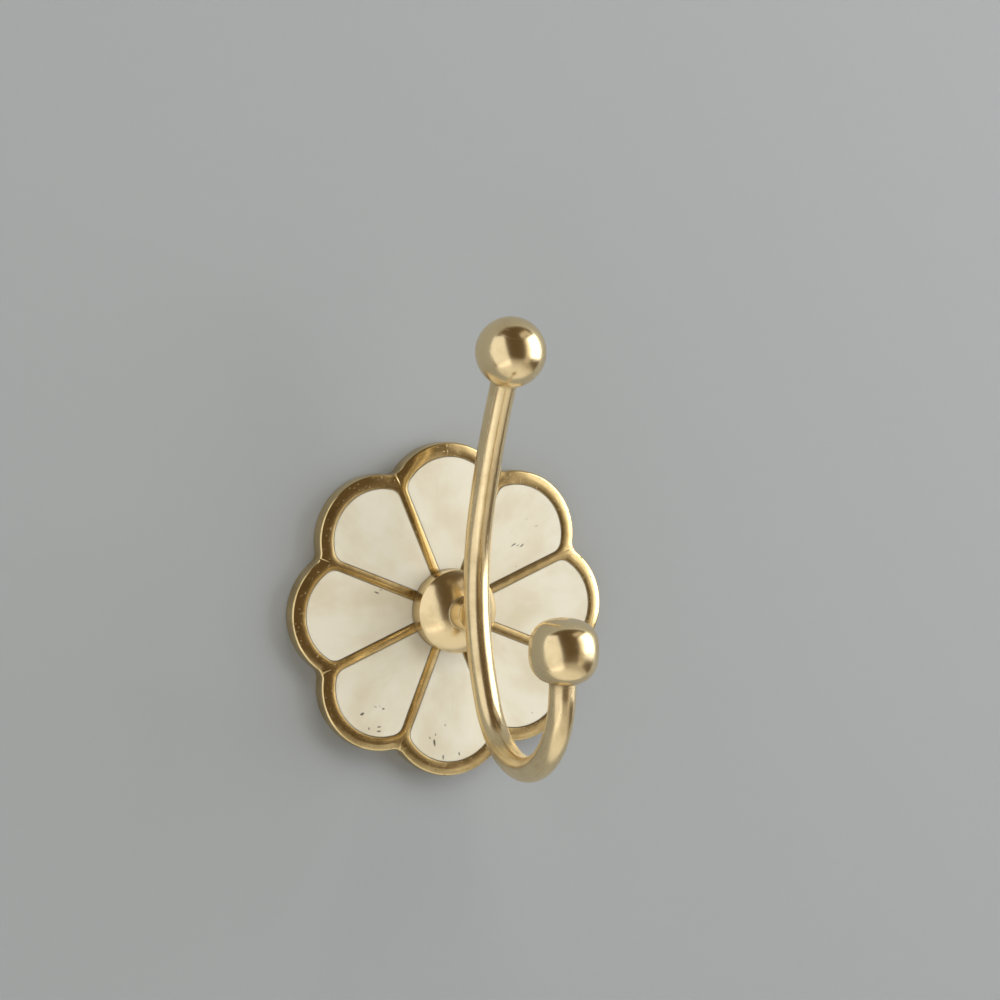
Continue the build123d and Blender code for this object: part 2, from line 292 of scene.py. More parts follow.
def waxed_bone():
    """Sawn bone, sanded and waxed: cream, with faint grain lengthwise, dark pores and a soft gloss."""
    colours = bpy.context.scene.hook_colours
    material, tree, shader = new_material("waxed_bone")
    # Noise along and across the inlay: clouds of 12 by 9 mm, grain 14 mm long in lines 0.5 mm apart, and
    # specks of 0.6 by 0.3 mm that break up a pore's edge
    common = {"Scale": 1.0, "Detail": 3.0}
    scales = {(0.08, 0.11, 0): 0.5, (0.07, 1.9, 0): 0.6, (1.6, 3.2, 0): 0.7}
    clouds, grain, ragged = (
        add_node(tree, "TexNoise", inputs=common | {"Vector": skin_of(tree, scale), "Roughness": fine})
        for scale, fine in scales.items()
    )
    clouded = add_node(
        tree, "MapRange", SMOOTH, {"Value": clouds, "From Min": 0.35, "From Max": 0.75, "To Max": 0.7}
    )
    grained = add_node(
        tree, "MapRange", inputs={"Value": grain, "From Min": 0.5, "From Max": 0.8, "To Max": 0.12}
    )
    # The skin's third value is how deep a pore is
    skin = add_node(tree, "Attribute", {"attribute_name": "skin"}).outputs["Vector"]
    depth = add_node(tree, "SeparateXYZ", inputs={"Vector": skin}).outputs["Z"]
    torn = add_node(tree, "Math", MULTIPLY_ADD, {0: ragged, 1: 1.1, 2: depth})
    pored = add_node(
        tree, "MapRange", SMOOTH, {"Value": torn, "From Min": 0.85, "From Max": 1.35, "To Max": 0.9}
    )
    # The seam round the inlay is darkened from a painted attribute: dirt there, and painted shade where the rim
    # shades it
    grime_and_shade = add_node(tree, "Attribute", {"attribute_name": "grime_and_shade"}).outputs["Fac"]
    aged = add_node(tree, "Math", {"operation": "ADD", "use_clamp": True}, {0: clouded, 1: grained})
    toned = add_node(tree, "Mix", COLOURED, {"Factor": aged, "A": colours.bone, "B": colours.bone_dark})
    dirt_and_shade = add_node(tree, "Math", MAXIMUM, {0: grime_and_shade, 1: pored})
    dirty_and_shaded = add_node(tree, "Mix", COLOURED, {"Factor": dirt_and_shade, "A": toned, "B": colours.pore})
    rough = add_node(tree, "Math", MULTIPLY_ADD, {0: clouds, 1: 0.2, 2: 0.3})
    lined = add_node(tree, "Bump", inputs={"Strength": 0.5, "Distance": -0.01 * MM, "Height": grained})
    holes = {"Strength": 1.0, "Distance": -0.08 * MM, "Height": pored, "Normal": lined}
    sunk = add_node(tree, "Bump", inputs=holes)
    fill(tree, shader, {"IOR": 1.55, "Base Color": dirty_and_shaded, "Roughness": rough, "Normal": sunk})
    return material


def zinc_plated_steel():
    """Zinc-plated steel, rolled and tumbled: cool grey, softly mottled, with a satin gloss."""
    material, tree, shader = new_material("zinc_plated_steel")
    # Mottling about 1.5 mm across
    spread = {"Vector": skin_of(tree, (0.7, 0.7, 0.7)), "Scale": 1.0, "Detail": 3.0, "Roughness": 0.6}
    mottle = add_node(tree, "TexNoise", inputs=spread)
    steel = bpy.context.scene.hook_colours.steel
    toned = add_node(tree, "Mix", COLOURED, {"Factor": mottle, "A": steel, "B": linear("#8E9294")})
    rough = add_node(tree, "Math", MULTIPLY_ADD, {0: mottle, 1: 0.25, 2: 0.22})
    fill(tree, shader, {"Metallic": 1.0, "Base Color": toned, "Roughness": rough})
    return material


def band_faces(rows, columns, closed=True):
    """Faces between rows of points numbered one after the other. A closed row's last point joins its first.

    Each face joins a point, the next one in its row, and the two behind them in the next row.
    """
    row = np.arange(rows - 1)[:, None] * columns
    here = np.arange(columns if closed else columns - 1)
    after = (here + 1) % columns
    return np.stack([row + here, row + after, row + columns + after, row + columns + here], -1).reshape(-1, 4)


def ring_faces(rings, columns):
    """Faces of a closed skin: a pole, closed rows, and a last pole, each joined to its row by a fan."""
    here = np.arange(columns)
    after = (here + 1) % columns
    last = (rings - 1) * columns + 1
    start = np.stack([np.zeros_like(here), 1 + after, 1 + here], -1)
    end = np.stack([last + here, last + after, np.full_like(here, last + columns)], -1)
    return (band_faces(rings, columns) + 1).tolist() + start.tolist() + end.tolist()


def raised(spots, level):
    """Flat points with a height added, one for all or one for each."""
    return np.concatenate([spots, np.broadcast_to(level, spots.shape[:-1])[..., None]], -1)


def run_along(line):
    """Length along a line from its start to each of its points."""
    return np.concatenate([[0], np.cumsum(np.linalg.norm(np.diff(line, axis=0), axis=1))])


def dirt_and_shade_at(distance, fade, most=1.0):
    """How dark a point is painted at a distance in millimetres from a corner, for dirt and for painted shade:
    most x exp(-distance / fade).
    """
    return most * np.exp(-np.clip(distance, 0, None) / fade)


def round_fall(distance, size):
    """How far a rounded edge falls, size - sqrt(size^2 - (size - distance)^2), up to its size from the edge."""
    return size - np.sqrt(size**2 - np.clip(size - distance, 0, size) ** 2)


def make_piece(name, points, faces, skin, grime_and_shade, material, nodes):
    """Puts a skin of points in millimetres into a mesh in metres, closed, smooth and facing outwards.

    The skin attribute holds the straightened coordinates that the finish's patterns read, and a second
    attribute how dark a point is painted for dirt and for painted shade in corners, from 0 to 1.
    """
    mesh = bpy.data.meshes.new(name)
    mesh.from_pydata((points * MM).tolist(), [], faces)
    attributes = ("skin", "FLOAT_VECTOR", "vector", skin), ("grime_and_shade", "FLOAT", "value", grime_and_shade)
    for key, kind, field, values in attributes:
        mesh.attributes.new(key, kind, "POINT").data.foreach_set(field, values.astype(np.float32).ravel())
    shell = bmesh.new()
    shell.from_mesh(mesh)
    bmesh.ops.remove_doubles(shell, verts=shell.verts, dist=0.002 * MM)
    bmesh.ops.recalc_face_normals(shell, faces=shell.faces)
    shell.to_mesh(mesh)
    shell.free()
    mesh.polygons.foreach_set("use_smooth", np.ones(len(mesh.polygons), bool))
    mesh.materials.append(material)
    piece = bpy.data.objects.new(name, mesh)
    bpy.context.scene.collection.objects.link(piece)
    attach(piece, "root")
    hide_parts(*nodes)
    return piece


def rounded(corners, steps=7):
    """Profile through corners (x, y, round), each with its round turned on it.

    A round is an arc tangent to both runs: it starts round x tan(turn / 2) before the corner and ends as far
    behind it. A point close to each of its ends keeps the flats beside it flat.
    """
    corners = np.array(corners, float)
    spots, rounds = corners[:, :2], corners[:, 2]
    runs = np.diff(spots, axis=0)
    runs /= np.linalg.norm(runs, axis=1)[:, None]
    profile = [spots[:1]]
    for spot, size, before, after in zip(spots[1:-1], rounds[1:-1], runs[:-1], runs[1:]):
        turn = math.acos(np.clip(before @ after, -1, 1))
        if size == 0 or turn < 1e-6:
            profile.append(spot[None])
            continue
        reach = size * math.tan(turn / 2)
        middle = spot + (after - before) / np.linalg.norm(after - before) * size / math.cos(turn / 2)
        first = (spot - before * reach - middle) / size
        second = (spot + after * reach - middle) / size
        share = np.linspace(0, 1, steps)[:, None]
        arc = (np.sin((1 - share) * turn) * first + np.sin(share * turn) * second) / math.sin(turn)
        lead = min(0.2 * size, 0.05)
        profile.append(spot - before * (reach + lead))
        profile.append(middle + arc * size)
        profile.append(spot + after * (reach + lead))
    profile.append(spots[-1:])
    return np.vstack([np.atleast_2d(part) for part in profile])


def turned(profile, origin, along, around=96):
    """Skin of a turned piece, as points, faces and straightened coordinates.

    At the turn a, a profile point (r, h) lies at origin + h along + r (cos a across + sin a up), where across
    is X and up is square to both. The profile's two end points lie on the axis and are the poles.
    """
    across = np.array([1.0, 0, 0])
    up = np.cross(along, across)
    turn = np.arange(around) * 2 * math.pi / around
    radius, height = profile[1:-1, 0, None], profile[1:-1, 1, None]
    local = np.stack([radius * np.cos(turn), radius * np.sin(turn), height + 0 * turn], -1).reshape(-1, 3)
    ends = np.array([[0, 0, profile[0, 1]], [0, 0, profile[-1, 1]]])
    local = np.vstack([ends[:1], local, ends[1:]])
    points = origin + local @ np.array([across, up, along])
    return points, ring_faces(len(profile) - 2, around), local


def rod_line(rod, thickness, step=0.4):
    """Centre line of the rod from the arm's end to the crook's tip, as points and directions.

    Each leg starts at the stem. Its heading from upright grows evenly over a bend and stays on a run, and
    each point is the last one plus a step along the heading halfway between them.
    """
    legs = []
    stem = np.array([0, -(thickness + rod.stem_reach), rod.stem_rise]) / MM
    upper = (
        [rod.back_bend_radius * rod.back_bend_up, rod.arm_bend_radius * rod.arm_bend, rod.arm_run],
        [rod.back_bend_up, rod.arm_bend, 0],
        1,
    )
    crook_turn = math.pi - rod.back_bend_down - rod.tip_lean
    lower = (
        [rod.back_bend_radius * rod.back_bend_down, rod.lower_run, rod.crook_radius * crook_turn, rod.tip_run],
        [rod.back_bend_down, 0, crook_turn, 0],
        -1,
    )
    for sizes, turns, side in (upper, lower):
        marks = np.concatenate([[0], np.cumsum(sizes)]) / MM
        headings = np.concatenate([[0], np.cumsum(turns)])
        run = np.linspace(0, marks[-1], math.ceil(marks[-1] / step) + 1)
        heading = np.interp(run, marks, headings)
        between = np.interp((run[1:] + run[:-1]) / 2, marks, headings)
        moves = np.stack([0 * between, -np.sin(between), side * np.cos(between)], -1) * np.diff(run)[:, None]
        points = stem + np.vstack([np.zeros(3), np.cumsum(moves, axis=0)])
        legs.append((points, np.stack([0 * heading, -np.sin(heading), side * np.cos(heading)], -1)))
    (up_points, up_ways), (down_points, down_ways) = legs
    return np.vstack([up_points[:0:-1], down_points]), np.vstack([-up_ways[:0:-1], down_ways])


def arc(centre, radius, start, end, count):
    """Points on a circle's arc from one angle to another: centre + radius (cos a, sin a)."""
    turn = np.linspace(start, end, count)
    return np.array(centre) + radius * np.stack([np.cos(turn), np.sin(turn)], -1)


def bead_foot(sizes):
    """How far below the bead's middle its seat lies, in millimetres."""
    share = 1 - (sizes.bead_seat / sizes.bead_radius) ** sizes.bead_power
    return sizes.bead_lower / MM * share ** (1 / sizes.bead_power)


class Cell:
    """One lobe's share of the rosette, pointing along +X: its outlines as distances from a point inside it.

    The cell lies between the two rib centre lines at half a lobe's pitch. Outside, it ends at the lobe's arc,
    which a small arc joins to the next lobe's in the notch. Inside, it ends at the screw's hole.
    """

    def __init__(self, sizes):
        self.sizes = sizes
        self.slope = math.pi / sizes.lobes
        self.way = np.array([math.cos(self.slope), math.sin(self.slope)])
        radius, notch = sizes.radius / MM, (sizes.radius - sizes.notch_depth) / MM
        self.lobe_centre = (radius**2 - notch**2) / (2 * (radius - notch * self.way[0]))
        self.lobe_radius = radius - self.lobe_centre
        self.middle = np.array([self.lobe_centre, 0.0])
        self.along, self.aside = self.lobe_centre * self.way
        notch_round = sizes.notch_round / MM
        notch_run = self.along + math.sqrt((self.lobe_radius + notch_round) ** 2 - self.aside**2)
        tangent = self.bearing(notch_run * self.way)
        lobe = arc(self.middle, self.lobe_radius, 0, tangent, 300)
        dip = arc(notch_run * self.way, notch_round, tangent - math.pi, self.slope - math.pi, 60)
        side = np.linspace(notch_run - notch_round, sizes.hole_radius / MM, 400)[:, None] * self.way
        hole = arc((0, 0), sizes.hole_radius / MM, self.slope, 0, 200)
        self.edge = np.vstack([lobe, dip[1:]])
        self.outer = np.vstack([self.edge, side[1:], hole[1:]])

    def bearing(self, spots):
        """Turn at which points lie, seen from the cell's middle."""
        offset = spots - self.middle
        return np.arctan2(offset[..., 1], offset[..., 0])

    def petal(self, gap):
        """Upper half of the inlay's outline from its outer tip to its inner end, grown by a gap in millimetres.

        Its sides lie parallel to the rib's centre line, its outer end follows the lobe inside the rim, its
        inner end is round about the rosette's centre, and an arc tangent to both joins each pair.
        """
        sizes = self.sizes
        half_rib = sizes.rib_width / MM / 2 - gap
        end_radius = self.lobe_radius - sizes.rim_width / MM + gap
        start_radius = sizes.inlay_start / MM - gap
        outer_round, inner_round = sizes.inlay_outer_round / MM + gap, sizes.inlay_inner_round / MM + gap
        inwards = self.way[::-1] * [1, -1]
        aside = half_rib + outer_round
        run = self.along + math.sqrt((end_radius - outer_round) ** 2 - (aside - self.aside) ** 2)
        outer = run * self.way + aside * inwards
        aside = half_rib + inner_round
        inner = math.sqrt((start_radius + inner_round) ** 2 - aside**2) * self.way + aside * inwards
        tangent = self.bearing(outer)
        upright = math.pi / 2 + self.slope
        inner_turn = math.atan2(inner[1], inner[0])
        end = arc(outer, outer_round, tangent, upright, 120)
        start = arc(inner, inner_round, upright, inner_turn + math.pi, 80)
        side = end[-1] + (start[0] - end[-1]) * np.linspace(0, 1, 400)[1:-1, None]
        tip = arc(self.middle, end_radius, 0, tangent, 300)
        return np.vstack([tip, end[1:], side, start, arc((0, 0), start_radius, inner_turn, 0, 80)[1:]])

    def reach(self, outline, turn):
        """Distance from the cell's middle to an outline at each turn, read from its upper half."""
        bearing = self.bearing(outline)
        bearing[-1] = math.pi
        return np.interp(np.abs(turn), bearing, np.linalg.norm(outline - self.middle, axis=1))

    def spots(self, turn, distance):
        """Points at a turn and a distance from the cell's middle."""
        return self.middle + np.stack([np.cos(turn), np.sin(turn)], -1) * distance[..., None]


def nearest(points, line):
    """Distance from each point to the nearest point of a finely divided line."""
    flat = points.reshape(-1, 2)
    found = [np.linalg.norm(part[:, None] - line, axis=2).min(1) for part in np.array_split(flat, 40)]
    return np.concatenate(found).reshape(points.shape[:-1])


def around_rosette(points, cell, index):
    """A cell's points (x, y, height) set at its place in the rosette, facing the room."""
    turn = 2 * cell.slope * index
    x = points[:, 0] * math.cos(turn) - points[:, 1] * math.sin(turn)
    z = points[:, 0] * math.sin(turn) + points[:, 1] * math.cos(turn)
    return np.stack([x, -points[:, 2], z], -1)


class HOOK_OT_rosette(bpy.types.Operator):
    """Builds the lobed brass plate with its rim, ribs and pockets"""

    bl_idname = "hook.rosette"
    bl_label = "Rosette"

    def execute(self, context):
        sizes = context.scene.hook_rosette
        cell = Cell(sizes)
        thickness, floor = sizes.thickness / MM, (sizes.thickness - sizes.pocket_depth) / MM
        # Columns along the edge, along the rib's middle, and round the hole in line with the edge's own
        notch_turn = cell.bearing(cell.edge[-1])
        edge_turn = np.linspace(0, notch_turn, 41)
        edge_spots = cell.spots(edge_turn, cell.reach(cell.outer, edge_turn))
        bearing = np.arctan2(edge_spots[:, 1], edge_spots[:, 0])
        hole = sizes.hole_radius / MM
        hole_turn = np.arctan2(hole * np.sin(bearing), hole * np.cos(bearing) - cell.lobe_centre)
        side_turn = np.linspace(notch_turn, hole_turn[-1], 34)[1:-1]
        half = np.concatenate([edge_turn, side_turn, hole_turn[::-1]])
        turn = np.concatenate([-half[:0:-1], half])
        on_edge = np.abs(turn) <= notch_turn + 1e-9
        # Rows over the land, close together where its edges are rounded
        share = [0, 0.012, 0.03, 0.055, 0.09, 0.14, 0.2, 0.28, 0.37, 0.46, 0.55, 0.63, 0.7, 0.76, 0.81, 0.85]
        share += [0.885, 0.915, 0.94, 0.96, 0.975, 0.987, 0.995, 1]
        pocket = cell.petal(sizes.inlay_gap / MM)
        inner, outer = cell.reach(pocket, turn), cell.reach(cell.outer, turn)
        spots = cell.spots(turn, inner + (outer - inner) * np.array(share)[:, None])
        from_pocket, from_edge = (
            nearest(spots, np.vstack([line, line[::-1] * [1, -1]])) for line in (pocket, cell.edge)
        )
        from_pocket[0] = 0
        from_edge[-1, on_edge] = 0
        # Height of the land: a crown between the pockets, which fades over a band 1.6 mm wide where a rib
        # meets the rim, a slope that falls away to the edge with the power 1.4, and rounded edges
        blend, faded, power = 1.6, 0.6, 1.4
        in_rim = np.clip((sizes.rim_width / MM - from_edge) / blend + 0.5, 0, 1)
        crown = (1 - faded * in_rim) * np.clip(1 - from_pocket / (sizes.rib_width / MM / 2), 0, 1) ** 2
        slope = np.clip(1 - from_edge / (sizes.slope_width / MM), 0, 1) ** power
        height = thickness - sizes.rib_crown / MM * crown - sizes.slope_drop / MM * slope
        height -= round_fall(from_edge, sizes.edge_round / MM) + round_fall(from_pocket, POCKET_ROUND)
        # The pocket's floor and side, painted fully dark as shade, and the land darkened in the seam round the
        # inlay by dirt and painted shade
        wall, columns = spots[:1], len(turn)
        middle = np.broadcast_to(cell.middle, wall.shape)
        deep = thickness - 0.6 * sizes.pocket_depth / MM
        top = [raised(middle, floor), raised(wall, floor), raised(wall, deep), raised(spots, height)]
        top = np.concatenate(top).reshape(-1, 3)
        top_faces = band_faces(len(top) // columns, columns, False)
        top_dirt_and_shade = np.concatenate([np.ones((3, columns)), dirt_and_shade_at(from_pocket, 0.13, 0.65)])
        # The side, the back with the nut's recess, and the hole, in rows that follow the edge's columns
        side = np.where(on_edge)[0]
        rim, chamfer = spots[-1, side], sizes.back_chamfer / MM
        circle = rim / np.linalg.norm(rim, axis=1)[:, None]
        toe = rim - circle * chamfer
        edge_steps = [(rim, height[-1, side]), (rim, thickness / 2), (rim, chamfer + 0.1), (rim, chamfer)]
        edge_steps += [(toe, 0), (toe * 0.99, 0)]
        recess, inmost = sizes.recess_radius / MM, sizes.recess_depth / MM
        radii = (recess * 1.02, recess, recess, recess, recess, recess * 0.98, hole * 1.03, hole, hole)
        levels = (0, 0, 0.05, inmost - 0.05, inmost, inmost, inmost, inmost, height[-1, 0])
        steps = edge_steps + [(circle * radius, level) for radius, level in zip(radii, levels)]
        back = np.concatenate([raised(*step) for step in steps])
        back_faces = band_faces(len(steps), len(side), False) + len(top)
        # The side and back are painted a little darker, and the nut's recess and the hole more, as dirt and
        # painted shade
        back_dirt_and_shade = np.repeat([0.12] * len(edge_steps) + [0.3] * len(radii), len(side))
        points, faces = np.vstack([top, back]), np.vstack([top_faces, back_faces])
        placed = np.vstack([around_rosette(points, cell, k) for k in range(sizes.lobes)])
        every = np.vstack([faces + k * len(points) for k in range(sizes.lobes)]).tolist()
        grime_and_shade = np.tile(np.concatenate([top_dirt_and_shade.ravel(), back_dirt_and_shade]), sizes.lobes)
        skin = placed[:, [0, 2, 1]]
        make_piece("rosette", placed, every, skin, grime_and_shade, cast_polished_brass(), ["backplate"])
        return {"FINISHED"}


# Pores seen in the bone: inlay, place along and across it, length, width, turn and depth, in millimetres and
# degrees, with the depth as a share
PORES = (
    (2, 22.1, -1.3, 2.0, 0.55, -18, 0.85),
    (2, 23.5, -3.0, 1.7, 0.5, -12, 0.85),
    (2, 22.7, -2.2, 1.2, 0.45, -20, 0.7),
    (2, 29.3, -2.5, 1.5, 0.5, -35, 0.6),
    (2, 28.6, 0.6, 1.5, 0.45, -25, 0.5),
    (2, 24.2, 6.6, 1.0, 0.5, -40, 0.45),
    (2, 18.8, -5.4, 1.0, 0.4, -30, 0.6),
    (4, 30.1, 2.9, 0.9, 0.5, 60, 0.5),
    (5, 18.6, -4.9, 1.6, 0.4, -20, 0.95),
    (5, 17.6, -5.5, 1.1, 0.36, -20, 0.85),
    (5, 29.1, 6.3, 0.7, 0.45, 0, 0.6),
    (6, 32.4, 0.5, 1.2, 0.6, -25, 1.2),
    (6, 29.0, 1.8, 1.2, 0.45, -65, 0.75),
    (6, 28.2, 2.5, 0.7, 0.4, -65, 0.7),
    (6, 28.1, 3.6, 0.9, 0.5, -65, 1.0),
    (6, 33.8, 4.2, 1.0, 0.45, 45, 0.95),
    (6, 31.8, 5.8, 1.2, 0.45, -45, 0.95),
    (6, 32.6, 6.5, 1.3, 0.5, -45, 1.05),
    (6, 30.2, -3.9, 0.7, 0.4, 0, 0.55),
    (7, 31.3, -4.4, 1.9, 0.55, 5, 1.2),
    (7, 30.1, -5.6, 1.0, 0.5, 20, 0.85),
    (7, 29.4, -4.1, 0.9, 0.45, 0, 0.85),
    (7, 27.3, -1.6, 0.9, 0.65, 30, 0.75),
    (7, 24.9, -3.0, 1.2, 0.6, 0, 0.45),
    (7, 34.9, -2.2, 1.5, 0.5, 0, 1.0),
    (7, 34.4, 1.9, 1.2, 0.5, 10, 0.9),
    (8, 27.5, -9.2, 1.1, 0.45, 30, 0.9),
    (8, 33.2, -3.4, 0.9, 0.45, 0, 0.7),
)


def pore_depth(spots, index):
    """How much of a pore there is at points of an inlay: the largest of exp(-(a / long)^2 - (b / wide)^2).

    The distances a and b from a pore's middle are measured along and across it.
    """
    depth = np.zeros(len(spots))
    for inlay, u, v, long, wide, turn, strength in PORES:
        if inlay == index + 1:
            way = np.array([math.cos(math.radians(turn)), math.sin(math.radians(turn))])
            gap = spots[:, :2] - [u, v]
            along, across = gap @ way, gap @ [-way[1], way[0]]
            fall = np.exp(-((along / long * 2) ** 2) - (across / wide * 2) ** 2)
            depth = np.maximum(depth, strength * fall)
    return depth


class HOOK_OT_inlays(bpy.types.Operator):
    """Builds the bone inlays, one in each pocket"""

    bl_idname = "hook.inlays"
    bl_label = "Bone inlays"

    def execute(self, context):
        sizes = context.scene.hook_rosette
        cell = Cell(sizes)
        outline = cell.petal(0.0)
        bearing = cell.bearing(outline)
        bearing[-1] = math.pi
        # Columns spread evenly along the outline
        run = run_along(outline)
        half = np.interp(np.linspace(0, run[-1], 140), run, bearing)
        turn = np.concatenate([-half[-2:0:-1], half])
        reach = cell.reach(outline, turn)
        top, foot = (sizes.thickness - sizes.inlay_below) / MM, (sizes.thickness - sizes.pocket_depth) / MM
        edge = sizes.inlay_edge / MM
        # Rows from the middle of the top out to its rubbed edge, down the side and back in below
        share, bend = np.linspace(0.02, 1, 56)[:, None], np.linspace(0, math.pi / 2, 6)[:, None]
        face, rubbed = (reach - edge * 1.3) * share, reach - edge * (1 - np.sin(bend))
        distances = np.vstack([face, rubbed, reach, reach, reach - 0.3])
        falls = (edge * (1 - np.cos(bend))).ravel()
        levels = np.concatenate([np.full(len(share), top), top - falls, [foot + 0.2, foot, foot]])
        rings = raised(cell.spots(turn, distances), levels[:, None]).reshape(-1, 3)
        points = np.vstack([[*cell.middle, top], rings, [*cell.middle, foot]])
        # The bone is painted darker towards its edge by dirt and painted shade in the seam, and fully dark
        # below, where it sits in the pocket
        grime_and_shade = np.concatenate([[0], dirt_and_shade_at(reach - distances, 0.12, 0.3).ravel(), [1]])
        faces = ring_faces(len(levels), len(turn))
        material = waxed_bone()
        for index in range(sizes.lobes):
            # Each inlay's patterns lie 60 mm from the last one's, so that no two are alike
            skin = np.stack([points[:, 0] + 60.0 * index, points[:, 1], pore_depth(points, index)], -1)
            placed, nodes = around_rosette(points, cell, index), [f"bone_petal_{index + 1}"]
            make_piece(f"bone_inlay_{index + 1}", placed, faces, skin, grime_and_shade, material, nodes)
        return {"FINISHED"}


class HOOK_OT_boss(bpy.types.Operator):
    """Builds the turned boss with its dome and neck"""

    bl_idname = "hook.boss"
    bl_label = "Boss"

    def execute(self, context):
        sizes = context.scene.hook_turned
        front = context.scene.hook_rosette.thickness / MM
        radius, neck, dome = sizes.boss_radius / MM, sizes.neck_radius / MM, sizes.dome_radius / MM
        side = front + sizes.boss_side / MM
        centre = side - math.sqrt(dome**2 - radius**2)
        out = np.linspace(radius, neck, 15)
        arch = [[r, centre + math.sqrt(dome**2 - r**2), 0] for r in out]
        arch[0][2], arch[-1][2] = sizes.boss_edge / MM, sizes.neck_fillet / MM
        end = front + sizes.neck_reach / MM
        tapped, floor = sizes.tapped_radius / MM, front + sizes.tapped_depth / MM
        corners = [[0, floor, 0], [tapped, floor, 0], [tapped, front, 0.1], [radius, front, 0.15]]
        corners += arch + [[neck, end, sizes.neck_edge / MM], [0, end, 0]]
        points, faces, skin = turned(rounded(corners), np.zeros(3), np.array([0, -1.0, 0]), 128)
        # Dirt and painted shade at the foot, and where the neck rises from the dome, which lies over 7.5 mm
        # above the foot
        foot = dirt_and_shade_at(np.abs(points[:, 1] + front), 0.25)
        by_neck = dirt_and_shade_at(np.hypot(points[:, 0], points[:, 2]) - neck, 0.35, 0.7)
        by_dome = dirt_and_shade_at(np.abs(points[:, 1]) - arch[-1][1], 0.4) * (points[:, 1] < -(front + 7.5))
        grime_and_shade = np.maximum(foot, by_neck * by_dome)
        make_piece("boss_dome", points, faces, skin, grime_and_shade, turned_polished_brass(), ["boss"])
        return {"FINISHED"}


class HOOK_OT_rod(bpy.types.Operator):
    """Builds the bent rod from the ball to the bead"""

    bl_idname = "hook.rod"
    bl_label = "Rod"

    def execute(self, context):
        rod, sizes = context.scene.hook_rod, context.scene.hook_turned
        line, ways = rod_line(rod, context.scene.hook_rosette.thickness)
        radius, around = rod.radius / MM, 64
        turn = np.arange(around) * 2 * math.pi / around
        aside, above = radius * np.cos(turn), radius * np.sin(turn)
        up = np.cross(ways, [1.0, 0, 0])
        rings = line[:, None] + aside[:, None] * [1.0, 0, 0] + above[:, None] * up[:, None]
        points = np.vstack([line[:1], rings.reshape(-1, 3), line[-1:]])
        run = run_along(line)
        straight = np.stack(np.broadcast_arrays(aside, above, run[:, None]), -1).reshape(-1, 3)
        skin = np.vstack([[0, 0, 0], straight, [0, 0, run[-1]]])
        # Dirt and painted shade where the rod goes into the ball and the bead
        ball_end = math.sqrt(sizes.ball_radius**2 - sizes.ball_seat**2) / MM
        bead_end = run[-1] - bead_foot(sizes)
        grime_and_shade = sum(dirt_and_shade_at(np.abs(skin[:, 2] - end), 0.35) for end in (ball_end, bead_end)).clip(0, 1) * 0.8
        faces = ring_faces(len(line), around)
        make_piece("bent_rod", points, faces, skin, grime_and_shade, drawn_polished_brass(), ["hook_rod"])
        return {"FINISHED"}


def bored_piece(name, side, end, way, node):
    """Turned piece on the rod's end: its side from the crown to the seat, then the bore that the rod fills."""
    scene = bpy.context.scene
    bore = (scene.hook_rod.radius + scene.hook_turned.bore_gap) / MM
    side[-1][2] = SEAT_ROUND
    seat = side[-1][1]
    profile = rounded([*side, [bore, seat, BORE_ROUND], [bore, BORE_END, 0], [0, BORE_END, 0]])
    points, faces, skin = turned(profile, end, way, 128)
    # Dirt and painted shade where the rod goes into the seat
    grime_and_shade = dirt_and_shade_at(skin[:, 2] - seat, 0.3, 0.8)
    make_piece(name, points, faces, skin, grime_and_shade, turned_polished_brass(), [node])


class HOOK_OT_ball(bpy.types.Operator):
    """Builds the ball on the upper arm"""

    bl_idname = "hook.ball"
    bl_label = "Ball"

    def execute(self, context):
        sizes, rod = context.scene.hook_turned, context.scene.hook_rod
        line, ways = rod_line(rod, context.scene.hook_rosette.thickness)
        radius, seat = sizes.ball_radius / MM, sizes.ball_seat / MM
        lean = np.linspace(0, math.pi - math.asin(seat / radius), 64)
        side = [[radius * math.sin(a), radius * math.cos(a), 0] for a in lean]
        bored_piece("upper_ball_skin", side, line[0], -ways[0], "upper_ball")
        return {"FINISHED"}


class HOOK_OT_bead(bpy.types.Operator):
    """Builds the bead on the crook's tip, a squashed ball"""

    bl_idname = "hook.bead"
    bl_label = "Bead"

    def execute(self, context):
        sizes, rod = context.scene.hook_turned, context.scene.hook_rod
        line, ways = rod_line(rod, context.scene.hook_rosette.thickness)
        radius, seat, power = sizes.bead_radius / MM, sizes.bead_seat / MM, sizes.bead_power
        # Superellipse: (r / radius) ^ power + (h / height) ^ power = 1, with its own height above and below
        level, last = math.pi / 2, math.atan2(seat, -bead_foot(sizes))
        turn = np.concatenate([np.linspace(0, level, 40), np.linspace(level, last, 36)[1:]])
        height = np.where(turn <= level, sizes.bead_upper, sizes.bead_lower) / MM
        reach = (np.sin(turn) / radius) ** power + (np.abs(np.cos(turn)) / height) ** power
        reach = reach ** (-1 / power)
        side = np.stack([reach * np.sin(turn), reach * np.cos(turn), 0 * turn], -1).tolist()
        bored_piece("lower_bead_skin", side, line[-1], ways[-1], "lower_bead")
        return {"FINISHED"}


